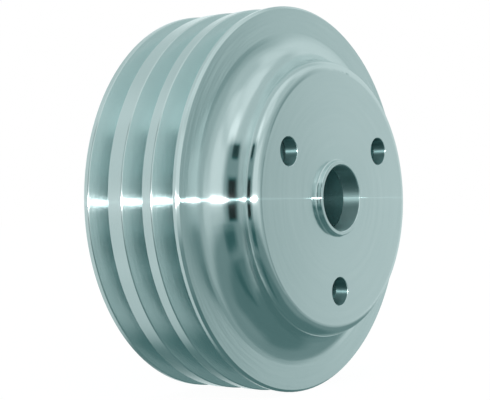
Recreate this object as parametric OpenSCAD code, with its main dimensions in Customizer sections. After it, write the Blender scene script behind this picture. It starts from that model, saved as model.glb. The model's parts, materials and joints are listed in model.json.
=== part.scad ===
// Three-groove V-belt crankshaft pulley, turned and drilled from one aluminium billet.
// The pulley spins about Y. The mounting pad lies in the plane y = 0 and faces -Y, the cup
// opens towards +Y, and +Z is up. The origin is where the spin axis meets the pad.

/* [Rim] */
// Outside diameter over the lands
rim_d = 139.7; // [130:0.1:160]
// Width of the rim, from the open end to the face of the flange
rim_w = 41.9; // [41:0.1:46]
// Chamfer on the flange side of the rim
rim_chamfer = 0.85; // [0.2:0.05:1]
// Chamfer around the open end
end_chamfer = 0.4; // [0.1:0.1:0.8]

/* [Belt grooves] */
// Width of a groove at the lands, with its corners sharp
groove_w = 9.1; // [8:0.1:9.6]
// Depth of a groove below the lands
groove_depth = 11.2; // [8:0.1:12]
// Angle between the two flanks of a groove
groove_angle = 36; // [30:1:38]
// Rounding where a flank meets a land
land_round = 0.5; // [0.1:0.1:0.6]
// Open end of the rim to the middle of the outer groove
outer_groove_at = 6.75; // [6:0.05:7.5]
// Middle of the outer groove to the middle of the centre groove
outer_pitch = 15.25; // [13:0.05:15.5]
// Middle of the centre groove to the middle of the inner groove
inner_pitch = 13.15; // [12:0.05:13.5]

/* [Hub] */
// Outside diameter of the hub
hub_d = 98.9; // [92:0.1:104]
// Depth of the whole pulley, from the pad to the open end
pulley_depth = 57.5; // [57:0.1:70]
// Fillet between the flange and the hub
flange_fillet = 10.8; // [6:0.1:11]
// Rounding around the pad
pad_round = 4; // [2:0.1:4.5]
// Width of the shoulder left where the hub wall meets that rounding
shoulder_w = 0.3; // [0.1:0.05:0.6]

/* [Locating ring] */
// Diameter of the centre bore
bore_d = 23.3; // [20:0.1:24]
// Outside diameter of the ring around the bore
ring_d = 26.8; // [26:0.1:34]
// Height of the ring above the pad
ring_h = 2.1; // [1.5:0.1:4]
// Fillet at the foot of the ring
ring_fillet = 0.6; // [0.2:0.1:1]
// Rounding and chamfer on the edges of the ring
ring_edge = 0.4; // [0.1:0.1:0.5]

/* [Bolt holes] */
// Number of bolt holes
bolt_count = 3; // [3:1:6]
// Diameter of the bolt circle
bolt_circle_d = 66.675; // [60:0.005:70]
// Diameter of a bolt hole
bolt_hole_d = 9.8; // [8:0.1:11]
// Chamfer at both ends of a bolt hole
bolt_chamfer = 0.3; // [0.1:0.1:0.8]

/* [Cup] */
// Thickness of the web that carries the pad
web_t = 5.2; // [4:0.1:8]
// Inside diameter of the cup behind the hub
cup_d = 88.6; // [84:0.1:89]
// Inside diameter of the cup under the belt grooves
rim_bore_d = 97; // [97:0.5:106]
// Thickness of the flange between its face and the step in the cup
flange_t = 7.3; // [5:0.1:10]
// Fillets inside the cup
cup_fillet = 2.5; // [1:0.5:2.5]

/* [Hidden] */
$fn = 96;
BEYOND = 1; // how far a cutting shape reaches past what it cuts
rim_r = rim_d / 2;
hub_r = hub_d / 2;
pad_r = hub_r - shoulder_w;
bore_r = bore_d / 2;
ring_r = ring_d / 2;
cup_r = cup_d / 2;
rim_bore_r = rim_bore_d / 2;
bolt_hole_r = bolt_hole_d / 2;
flange_y = pulley_depth - rim_w;
step_y = flange_y + flange_t;
outer_groove_y = pulley_depth - outer_groove_at;
centre_groove_y = outer_groove_y - outer_pitch;
inner_groove_y = centre_groove_y - inner_pitch;
groove_ys = [outer_groove_y, centre_groove_y, inner_groove_y];
flank_angle = groove_angle / 2;
root_w = groove_w - 2 * groove_depth * tan(flank_angle);

// Every outline below is half a section of the pulley: x is the distance from the spin
// axis, and y the distance behind the pad.

// What a fillet of radius r adds in the corner at the origin, between +x and +y.
module fillet(r) {
    difference() {
        square(r);
        translate([r, r]) circle(r);
    }
}

// What a chamfer of size c takes from a corner at the origin whose body lies in -x and -y.
module chamfer(c) {
    polygon([[-c, 0], [-c, BEYOND], [BEYOND, BEYOND], [BEYOND, -c], [0, -c]]);
}

// What rounding one corner of a groove takes away. The corner is the origin, the land
// runs along +y, and the flank runs down at flank_angle.
module land_corner() {
    reach = land_round * tan((90 - flank_angle) / 2);
    down = reach * cos(flank_angle);
    across = reach * sin(flank_angle);
    difference() {
        polygon([[0, reach], [BEYOND, reach], [BEYOND, 0], [0, 0], [-down, -across]]);
        translate([-land_round, reach]) circle(land_round);
    }
}

module belt_groove() {
    slope = tan(flank_angle);
    outer_w = groove_w + 2 * BEYOND * slope;
    translate([rim_r, 0]) {
        polygon([
            [-groove_depth, -root_w / 2],
            [BEYOND, -outer_w / 2],
            [BEYOND, outer_w / 2],
            [-groove_depth, root_w / 2]
        ]);
        for (side = [0, 1]) mirror([0, side]) translate([0, groove_w / 2]) land_corner();
    }
}

module rim_outline() {
    difference() {
        translate([0, flange_y]) square([rim_r, rim_w]);
        for (y = groove_ys) translate([0, y]) belt_groove();
        translate([rim_r, flange_y]) mirror([0, 1]) chamfer(rim_chamfer);
        translate([rim_r, pulley_depth]) chamfer(end_chamfer);
    }
}

module hub_outline() {
    translate([0, pad_round]) square([hub_r, flange_y - pad_round + BEYOND]);
    translate([hub_r, flange_y]) mirror([0, 1]) fillet(flange_fillet);
    difference() {
        square([pad_r, pad_round]);
        translate([pad_r, 0]) mirror([1, 0]) fillet(pad_round);
    }
}

module ring_outline() {
    difference() {
        translate([0, -ring_h]) square([ring_r, ring_h + BEYOND]);
        translate([ring_r, -ring_h]) mirror([1, 0]) fillet(ring_edge);
    }
    translate([ring_r, 0]) mirror([0, 1]) fillet(ring_fillet);
}

// The hollow of the cup: narrow behind the hub, wider under the belt grooves.
module cup_outline() {
    depth = pulley_depth - web_t;
    difference() {
        translate([0, web_t]) square([cup_r, depth + BEYOND]);
        translate([cup_r, web_t]) mirror([1, 0]) fillet(cup_fillet);
    }
    difference() {
        translate([0, step_y]) square([rim_bore_r, pulley_depth - step_y + BEYOND]);
        translate([rim_bore_r, step_y]) mirror([1, 0]) fillet(cup_fillet);
    }
    translate([cup_r, step_y]) mirror([0, 1]) fillet(cup_fillet / 2);
    translate([rim_bore_r, pulley_depth]) mirror([1, 0]) chamfer(end_chamfer);
}

module bore_outline() {
    translate([0, -ring_h - BEYOND]) square([bore_r, web_t + ring_h + 2 * BEYOND]);
    translate([bore_r, -ring_h]) mirror([1, 0]) mirror([0, 1]) chamfer(ring_edge);
    translate([bore_r, web_t]) mirror([1, 0]) chamfer(ring_edge);
}

module turned_body() {
    rotate([-90, 0, 0]) rotate_extrude() difference() {
        union() {
            rim_outline();
            hub_outline();
            ring_outline();
        }
        cup_outline();
        bore_outline();
    }
}

// One bolt hole along the axis of the pulley, with a chamfer at each face of the web.
module bolt_hole() {
    wide_r = bolt_hole_r + bolt_chamfer;
    rotate([-90, 0, 0]) {
        translate([0, 0, -BEYOND]) cylinder(h = web_t + 2 * BEYOND, r = bolt_hole_r);
        cylinder(h = bolt_chamfer, r1 = wide_r, r2 = bolt_hole_r);
        translate([0, 0, web_t - bolt_chamfer])
            cylinder(h = bolt_chamfer, r1 = bolt_hole_r, r2 = wide_r);
    }
}

module pulley() {
    color([0.64, 0.70, 0.70]) difference() {
        turned_body();
        for (i = [0 : bolt_count - 1]) rotate([0, 180 + i * 360 / bolt_count, 0])
            translate([0, 0, bolt_circle_d / 2]) bolt_hole();
    }
}

pulley();
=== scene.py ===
"""Studio scene of a turned aluminium V-belt crankshaft pulley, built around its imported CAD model.

Lengths are in metres and angles in degrees, except where a name says otherwise. The pulley
spins about Y: its mounting pad faces -Y, its cup opens towards +Y, and +Z is up. A bearing is
measured around Z from -Y, positive towards -X, the side that the camera stands on.
"""

import json
import math

import bpy
from mathutils import Matrix, Vector


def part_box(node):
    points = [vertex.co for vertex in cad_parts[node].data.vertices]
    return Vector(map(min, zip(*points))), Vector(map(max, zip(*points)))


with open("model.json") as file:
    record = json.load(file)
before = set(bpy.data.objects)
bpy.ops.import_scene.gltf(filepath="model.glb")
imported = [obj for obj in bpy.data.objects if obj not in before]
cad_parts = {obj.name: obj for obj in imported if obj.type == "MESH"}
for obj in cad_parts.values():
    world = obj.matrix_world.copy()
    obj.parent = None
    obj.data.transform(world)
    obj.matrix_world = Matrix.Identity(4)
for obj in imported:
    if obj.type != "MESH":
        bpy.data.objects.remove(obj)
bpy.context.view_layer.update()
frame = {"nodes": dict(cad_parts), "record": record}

MM = 0.001
PULLEY = frame["nodes"]["pulley"]

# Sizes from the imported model
MOUNTS = {mount["name"]: mount for mount in frame["record"]["mounts"]}
BORE_R = MOUNTS["centre_bore"]["dims"]["r_mm"] * MM
RING_R = MOUNTS["locating_ring"]["dims"]["r_mm"] * MM
BOLTS = MOUNTS["bolt_circle"]["dims"]
BOLT_CIRCLE_R = BOLTS["pcd_mm"] / 2 * MM
BOLT_HOLE_R = BOLTS["hole_r_mm"] * MM
LOW, HIGH = (Vector(corner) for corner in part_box("pulley"))
RIM_R = HIGH.x
OPEN_END_Y = HIGH.y

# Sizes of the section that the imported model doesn't name
FLANGE_Y = 15.6 * MM
WEB_T = 5.2 * MM
STEP_Y = 22.9 * MM
CUP_R = 44.3 * MM
RIM_BORE_R = 48.5 * MM

# Colours of the metal, with painted shade in the darker colours of the cup, the centre bore and the
# bolt holes
DARK_RINGS = (0.73, 0.80, 0.80, 1)
LIGHT_RINGS = (0.83, 0.88, 0.88, 1)
GROOVE_TINT = (0.83, 0.89, 0.89, 1)
# Painted shade: the inside of the cup is coloured darker than the metal outside
CUP_PAINTED_SHADE = (0.28, 0.50, 0.50, 1)
# Painted shade: the wall of the centre bore is coloured darker
BORE_PAINTED_SHADE = (0.40, 0.55, 0.55, 1)
# Painted shade: the walls of the bolt holes are coloured darker still
BOLT_HOLE_PAINTED_SHADE = (0.27, 0.43, 0.43, 1)
COARSE_TINT = (0.7, 1.0, 1.0)

# Roughness of the fine lobe
DARK_RING_ROUGHNESS = 0.13
LIGHT_RING_ROUGHNESS = 0.08
GROOVE_ROUGHNESS = 0.15
LAND_ROUGHNESS = 0.20
CUP_ROUGHNESS = 0.25
DRILLED_ROUGHNESS = 0.55

# Share of the coarse lobe
COARSE_SHARE = 0.05
COARSE_SHARE_IN_GROOVES = 0.12
COARSE_SHARE_ON_SMOOTH = 0.003
RING_GLEAM = 9 * MM

# Marks in the metal, as how often they change in a metre, and their depth
RINGS_PER_M = 1100
STREAKS_PER_M = 420
BANDS_PER_M = 260
CLOUDS_PER_M = 45
NOISE_DETAIL = 3.0
RELIEF = 0.008 * MM
STREAK_RELIEF = 6.0
SMOOTH_RELIEF = 0.25

# The camera, which looks at a point inside the pulley
CAMERA_AIM = Vector((-0.0064, 0.0364, 0.00015))
CAMERA_BEARING = 52.86
CAMERA_ELEVATION = 0.65
CAMERA_DISTANCE = 0.486
CAMERA_ROLL = -1.83
CAMERA_LENS_MM = 96.6

# The strip lamp
FLASH_WIDTH = 0.44
FLASH_HEIGHT = 0.006
FLASH_WATTS = 1.5
FLASH_BEARING = 43
FLASH_ELEVATION = 1.1
FLASH_DISTANCE = 0.55

# The studio behind the cards: its light below, at the floor's edge and above
FLOOR_LEVEL = 0.18
EDGE_LEVEL = 0.26
WALL_LEVEL = 0.56
FLOOR_TO_EDGE = (-46.0, -32.0)
EDGE_TO_WALL = (-21.0, -7.0)

# The table
TABLE_GLOW = 1.05
TABLE_SHADOW = 0.08
TABLE_HALF = 2.0


class Nodes:
    """A node tree with short calls for the nodes that this scene uses."""

    def __init__(self, tree):
        self.tree = tree
        tree.nodes.clear()

    def add(self, kind, **settings):
        node = self.tree.nodes.new(kind)
        for name, value in settings.items():
            setattr(node, name, value)
        return node

    def feed(self, target, value):
        """Links a socket to an input, or sets the input to a plain value."""
        if isinstance(value, bpy.types.NodeSocket):
            self.tree.links.new(value, target)
        else:
            target.default_value = value

    def math(self, operation, *values):
        node = self.add("ShaderNodeMath", operation=operation)
        for target, value in zip(node.inputs, values):
            self.feed(target, value)
        return node.outputs[0]

    def plus(self, *values):
        total = values[0]
        for value in values[1:]:
            total = self.math("ADD", total, value)
        return total

    def times(self, *values):
        total = values[0]
        for value in values[1:]:
            total = self.math("MULTIPLY", total, value)
        return total

    def step(self, value, start, end):
        """0 up to start and 1 from end, turning smoothly between them."""
        node = self.add("ShaderNodeMapRange", interpolation_type="SMOOTHSTEP")
        for name, number in (("Value", value), ("From Min", start), ("From Max", end)):
            self.feed(node.inputs[name], number)
        return node.outputs["Result"]

    def mix(self, share, low, high):
        """low where share is 0 and high where it is 1."""
        node = self.add("ShaderNodeMix", data_type="FLOAT")
        for name, value in (("Factor", share), ("A", low), ("B", high)):
            self.feed(node.inputs[name], value)
        return node.outputs["Result"]

    def vector(self, operation, *values):
        node = self.add("ShaderNodeVectorMath", operation=operation)
        for target, value in zip(node.inputs, values):
            self.feed(target, value)
        return node.outputs["Value" if operation == "LENGTH" else "Vector"]

    def blend(self, share, low, high, kind="VECTOR"):
        """As mix, for vectors or colours."""
        node = self.add("ShaderNodeMix", data_type=kind)
        sockets = [socket for socket in node.inputs if socket.enabled]
        for target, value in zip(sockets, (share, low, high)):
            self.feed(target, value)
        return next(socket for socket in node.outputs if socket.enabled)

    def noise(self, place, scale):
        """Smooth noise from 0 to 1: along a line for a number, and in space for a vector."""
        line = place.type == "VALUE"
        node = self.add("ShaderNodeTexNoise", noise_dimensions="1D" if line else "3D")
        self.feed(node.inputs["W" if line else "Vector"], place)
        node.inputs["Scale"].default_value = scale
        node.inputs["Detail"].default_value = NOISE_DETAIL
        return node.outputs["Fac"]

    def split(self, vector):
        node = self.add("ShaderNodeSeparateXYZ")
        self.feed(node.inputs[0], vector)
        return node.outputs

    def join(self, *values, colour=False):
        node = self.add("ShaderNodeCombineColor" if colour else "ShaderNodeCombineXYZ")
        for target, value in zip(node.inputs, values):
            self.feed(target, value)
        return node.outputs[0]


def tool_marks(n, point):
    """Which way the tool ran, and a mask of the walls of the bolt holes.

    It ran round the spin axis, and in a bolt hole round the hole's own axis.
    """
    in_holes = 0.0
    marks = n.vector("CROSS_PRODUCT", (0, 1, 0), point)
    for i in range(BOLTS["count"]):
        turn = math.radians(180 + i * 360 / BOLTS["count"])
        centre = Vector((math.sin(turn), 0, math.cos(turn))) * BOLT_CIRCLE_R
        offset = n.vector("MULTIPLY", n.vector("SUBTRACT", point, centre), (1, 0, 1))
        off_r = n.vector("LENGTH", offset)
        in_hole = n.step(off_r, BOLT_HOLE_R + 0.2 * MM, BOLT_HOLE_R + 0.1 * MM)
        marks = n.blend(in_hole, marks, n.vector("CROSS_PRODUCT", (0, 1, 0), offset))
        in_holes = n.math("MAXIMUM", in_holes, in_hole)
    return marks, in_holes


def areas(n, r, y):
    """Masks of the pad, the lands, the grooves, the cup and the wall of the centre bore."""
    behind_flange = n.step(y, FLANGE_Y + 0.5 * MM, FLANGE_Y + 0.9 * MM)
    cup_r = n.mix(n.step(y, FLANGE_Y, STEP_Y), CUP_R + 0.3 * MM, RIM_BORE_R + 0.3 * MM)
    pad = n.times(n.step(y, 0.9 * MM, 0.1 * MM), n.step(r, RING_R - 1.1 * MM, RING_R - 0.8 * MM))
    land = n.times(n.step(r, RIM_R - 0.5 * MM, RIM_R - 0.25 * MM), behind_flange)
    groove = n.times(behind_flange, n.step(r, RIM_BORE_R + 2 * MM, RIM_BORE_R + 3 * MM))
    cup = n.times(n.step(y, WEB_T - 0.5 * MM, WEB_T), n.math("LESS_THAN", r, cup_r))
    bore = n.step(r, BORE_R + 0.2 * MM, BORE_R + 0.1 * MM)
    return pad, land, groove, cup, bore


def turned_aluminium():
    """Aluminium off a lathe: fine rings left by the tool stretch every highlight across them.

    Most of the light comes off the fine lobe. The coarse one, long and thin, stands for the
    coarser rings of the flange, the fillet, the hub wall and the groove flanks.
    """
    mat = bpy.data.materials.new("turned_aluminium")
    mat.use_nodes = True
    n = Nodes(mat.node_tree)
    point = n.add("ShaderNodeTexCoord").outputs["Object"]
    x, y, z = n.split(point)
    r = n.math("SQRT", n.plus(n.times(x, x), n.times(z, z)))
    pad, land, groove, cup, bore = areas(n, r, y)
    marks, in_holes = tool_marks(n, point)
    drilled = n.math("MAXIMUM", in_holes, bore)

    # Grows from one ring to the next on every turned face
    along = n.plus(r, y)
    band = n.noise(along, BANDS_PER_M)
    cloud = n.noise(point, CLOUDS_PER_M)
    streak_place = [n.times(along, STREAKS_PER_M), n.times(x, CLOUDS_PER_M), n.times(z, CLOUDS_PER_M)]
    streak = n.noise(n.join(*streak_place), 1.0)
    tone = n.plus(n.times(band, 0.35), n.times(streak, 0.4), n.times(cloud, 0.25))

    tint = n.blend(tone, DARK_RINGS, LIGHT_RINGS, "RGBA")
    tint = n.blend(groove, tint, GROOVE_TINT, "RGBA")
    # Painted shade darkens the inside of the cup
    tint = n.blend(cup, tint, CUP_PAINTED_SHADE, "RGBA")
    # Painted shade darkens the walls of the centre bore and the bolt holes
    tint = n.blend(drilled, tint, BORE_PAINTED_SHADE, "RGBA")
    # Painted shade darkens the walls of the bolt holes further
    tint = n.blend(in_holes, tint, BOLT_HOLE_PAINTED_SHADE, "RGBA")
    polish = n.mix(tone, DARK_RING_ROUGHNESS, LIGHT_RING_ROUGHNESS)
    polish = n.mix(groove, polish, GROOVE_ROUGHNESS)
    polish = n.mix(land, polish, LAND_ROUGHNESS)
    polish = n.mix(cup, polish, CUP_ROUGHNESS)
    polish = n.mix(drilled, polish, DRILLED_ROUGHNESS)

    relief = n.add("ShaderNodeBump")
    n.feed(relief.inputs["Strength"], n.mix(n.math("MAXIMUM", pad, land), 1.0, SMOOTH_RELIEF))
    relief.inputs["Distance"].default_value = RELIEF
    height = n.plus(n.noise(along, RINGS_PER_M), n.times(streak, STREAK_RELIEF))
    n.feed(relief.inputs["Height"], height)

    fine = n.add("ShaderNodeBsdfPrincipled")
    fine.inputs["Metallic"].default_value = 1.0
    n.feed(fine.inputs["Base Color"], tint)
    n.feed(fine.inputs["Roughness"], polish)
    fine.inputs["Anisotropic"].default_value = 1.0
    fine.inputs["Anisotropic Rotation"].default_value = 0.25
    n.feed(fine.inputs["Normal"], relief.outputs[0])
    n.feed(fine.inputs["Tangent"], marks)

    coarse = n.add("ShaderNodeBsdfAnisotropic", distribution="BECKMANN")
    n.feed(coarse.inputs["Color"], n.vector("MULTIPLY", tint, COARSE_TINT))
    coarse.inputs["Roughness"].default_value = 0.27
    coarse.inputs["Anisotropy"].default_value = 0.92
    n.feed(coarse.inputs["Tangent"], marks)

    # The pad is smooth, except for the gleam that fades away from the locating ring
    beyond_ring = n.step(r, RING_R, RING_R + RING_GLEAM)
    pad_share = n.mix(beyond_ring, COARSE_SHARE, COARSE_SHARE_ON_SMOOTH)
    share = n.mix(groove, COARSE_SHARE, COARSE_SHARE_IN_GROOVES)
    share = n.mix(drilled, share, 0.0)
    share = n.mix(pad, share, pad_share)
    share = n.mix(land, share, COARSE_SHARE_ON_SMOOTH)
    surface = n.add("ShaderNodeMixShader")
    n.feed(surface.inputs[0], share)
    n.feed(surface.inputs[1], fine.outputs[0])
    n.feed(surface.inputs[2], coarse.outputs[0])
    n.feed(n.add("ShaderNodeOutputMaterial").inputs["Surface"], surface.outputs[0])
    return mat


def direction(bearing, elevation):
    """The unit vector that points from the pulley at a bearing and an elevation."""
    b, e = math.radians(bearing), math.radians(elevation)
    return Vector((-math.sin(b) * math.cos(e), -math.cos(b) * math.cos(e), math.sin(e)))


def place(obj, point, aim, roll=0.0):
    """Stands a camera or a light at point, facing aim."""
    turn = (aim - point).to_track_quat("-Z", "Y").to_matrix().to_4x4()
    bpy.context.collection.objects.link(obj)
    obj.matrix_world = Matrix.Translation(point) @ turn @ Matrix.Rotation(math.radians(roll), 4, "Z")


def camera():
    data = bpy.data.cameras.new("camera")
    data.lens = CAMERA_LENS_MM
    data.clip_start = 0.01
    obj = bpy.data.objects.new("camera", data)
    towards = direction(CAMERA_BEARING, CAMERA_ELEVATION)
    place(obj, CAMERA_AIM + towards * CAMERA_DISTANCE, CAMERA_AIM, roll=CAMERA_ROLL)
    bpy.context.scene.camera = obj


# The softboxes, walls and dark cards of the studio. Each is the bearing and the elevation of its
# middle, half its width and half its height, how soft its edges are, and its brightness. A later
# one covers an earlier one.
CARDS = [
    (0, 80, 80, 20, 12, 0.80),
    (-62, 50, 18, 12, 8, 0.72),
    (14, 50, 22, 11, 8, 0.76),
    (56, 50, 18, 12, 8, 1.00),
    (-84, 13, 25, 28, 8, 0.72),
    (-34, 8, 19, 20, 7, 0.43),
    (-8, 0, 14, 6, 6, 0.66),
    (-45, 2, 6, 15, 3, 0.31),
    (28, 15, 24, 18, 7, 0.78),
    (-155, 2, 38, 32, 12, 1.05),
    (150, -45, 34, 14, 12, 0.60),
    (142, 5, 24, 42, 10, 0.66),
    (-28, -38, 14, 10, 8, 0.28),
    (56, -62, 14, 18, 10, 0.11),
    (112, -62, 12, 14, 10, 0.26),
    (83, 2, 27, 41, 6, 0.28),
    (68, -26, 20, 9, 7, 0.10),
    (87, 9, 16, 8, 2, 0.00),
    (87, -7, 16, 6, 2, 0.00),
    (88, 37, 14, 6, 2, 0.02),
]


def studio():
    """The studio around the pulley, as light by direction, with plain white behind for the camera."""
    world = bpy.data.worlds.new("studio")
    bpy.context.scene.world = world
    world.use_nodes = True
    n = Nodes(world.node_tree)
    out = n.add("ShaderNodeOutputWorld")
    x, y, z = n.split(n.add("ShaderNodeTexCoord").outputs["Generated"])
    bearing = n.math("DEGREES", n.math("ARCTAN2", n.times(x, -1.0), n.times(y, -1.0)))
    elevation = n.math("DEGREES", n.math("ARCSINE", z))

    level = n.mix(n.step(elevation, *FLOOR_TO_EDGE), FLOOR_LEVEL, EDGE_LEVEL)
    level = n.mix(n.step(elevation, *EDGE_TO_WALL), level, WALL_LEVEL)
    for at, height, half_w, half_h, soft, brightness in CARDS:
        across = n.math("ABSOLUTE", n.math("WRAP", n.plus(bearing, -at), 180.0, -180.0))
        up = n.math("ABSOLUTE", n.plus(elevation, -height))
        wide = n.step(across, half_w + soft, half_w - soft)
        high = n.step(up, half_h + soft, half_h - soft)
        level = n.mix(n.times(wide, high), level, brightness)

    # Dim light has less red in it than bright light, as in the photograph
    above_dark = n.math("MAXIMUM", n.plus(level, -0.04), 0.0)
    red = n.math("DIVIDE", n.times(level, above_dark), n.plus(level, 0.09))
    light = n.add("ShaderNodeBackground")
    n.feed(light.inputs["Color"], n.join(red, level, level, colour=True))
    backdrop = n.add("ShaderNodeBackground")
    backdrop.inputs["Color"].default_value = (1, 1, 1, 1)
    show = n.add("ShaderNodeMixShader")
    n.feed(show.inputs[0], n.add("ShaderNodeLightPath").outputs["Is Camera Ray"])
    n.feed(show.inputs[1], light.outputs[0])
    n.feed(show.inputs[2], backdrop.outputs[0])
    n.feed(out.inputs["Surface"], show.outputs[0])


def flash():
    """The thin bright lamp that draws the line of light across the turned faces."""
    data = bpy.data.lights.new("flash", "AREA")
    data.shape = "RECTANGLE"
    data.size = FLASH_WIDTH
    data.size_y = FLASH_HEIGHT
    data.energy = FLASH_WATTS
    obj = bpy.data.objects.new("flash", data)
    obj.visible_camera = False
    aim = Vector((0, FLANGE_Y, 0))
    place(obj, aim + direction(FLASH_BEARING, FLASH_ELEVATION) * FLASH_DISTANCE, aim)


def sheet(name, outline, shade):
    """A flat piece of the studio, which belongs to the stage and not to the pulley."""
    mesh = bpy.data.meshes.new(name)
    mesh.from_pydata(outline, [], [tuple(range(len(outline)))])
    obj = bpy.data.objects.new(name, mesh)
    bpy.context.collection.objects.link(obj)
    mesh.materials.append(shade)
    return obj


def flag():
    """A black card just outside the mouth of the cup, which keeps the far wall dark behind the bore."""
    mat = bpy.data.materials.new("flag_black")
    mat.use_nodes = True
    shader = mat.node_tree.nodes["Principled BSDF"]
    shader.inputs["Base Color"].default_value = (0, 0, 0, 1)
    shader.inputs["Specular IOR Level"].default_value = 0
    reach = RIM_BORE_R - 3 * MM
    turns = [math.radians(turn) for turn in range(-100, 101, 10)]
    outline = [(reach * math.cos(turn), OPEN_END_Y + MM, reach * math.sin(turn)) for turn in turns]
    sheet("flag", outline, mat).visible_camera = False


def floor():
    """A plain white table, bright enough to have almost no shadow on it."""
    mat = bpy.data.materials.new("floor_white")
    mat.use_nodes = True
    n = Nodes(mat.node_tree)
    seen = n.add("ShaderNodeLightPath").outputs["Is Camera Ray"]
    glow = n.add("ShaderNodeEmission")
    n.feed(glow.inputs["Strength"], n.times(seen, TABLE_GLOW))
    paper = n.add("ShaderNodeBsdfDiffuse")
    surface = n.add("ShaderNodeMixShader")
    n.feed(surface.inputs[0], TABLE_SHADOW)
    n.feed(surface.inputs[1], glow.outputs[0])
    n.feed(surface.inputs[2], paper.outputs[0])
    n.feed(n.add("ShaderNodeOutputMaterial").inputs["Surface"], surface.outputs[0])
    corners = [(-1, -1), (1, -1), (1, 1), (-1, 1)]
    outline = [(TABLE_HALF * x, TABLE_HALF * y, LOW.z) for x, y in corners]
    obj = sheet("floor", outline, mat)
    obj.visible_glossy = False
    obj.visible_shadow = False


PULLEY.material_slots[0].material = turned_aluminium()
camera()
studio()
flash()
flag()
floor()
bpy.context.scene.view_settings.view_transform = "Standard"
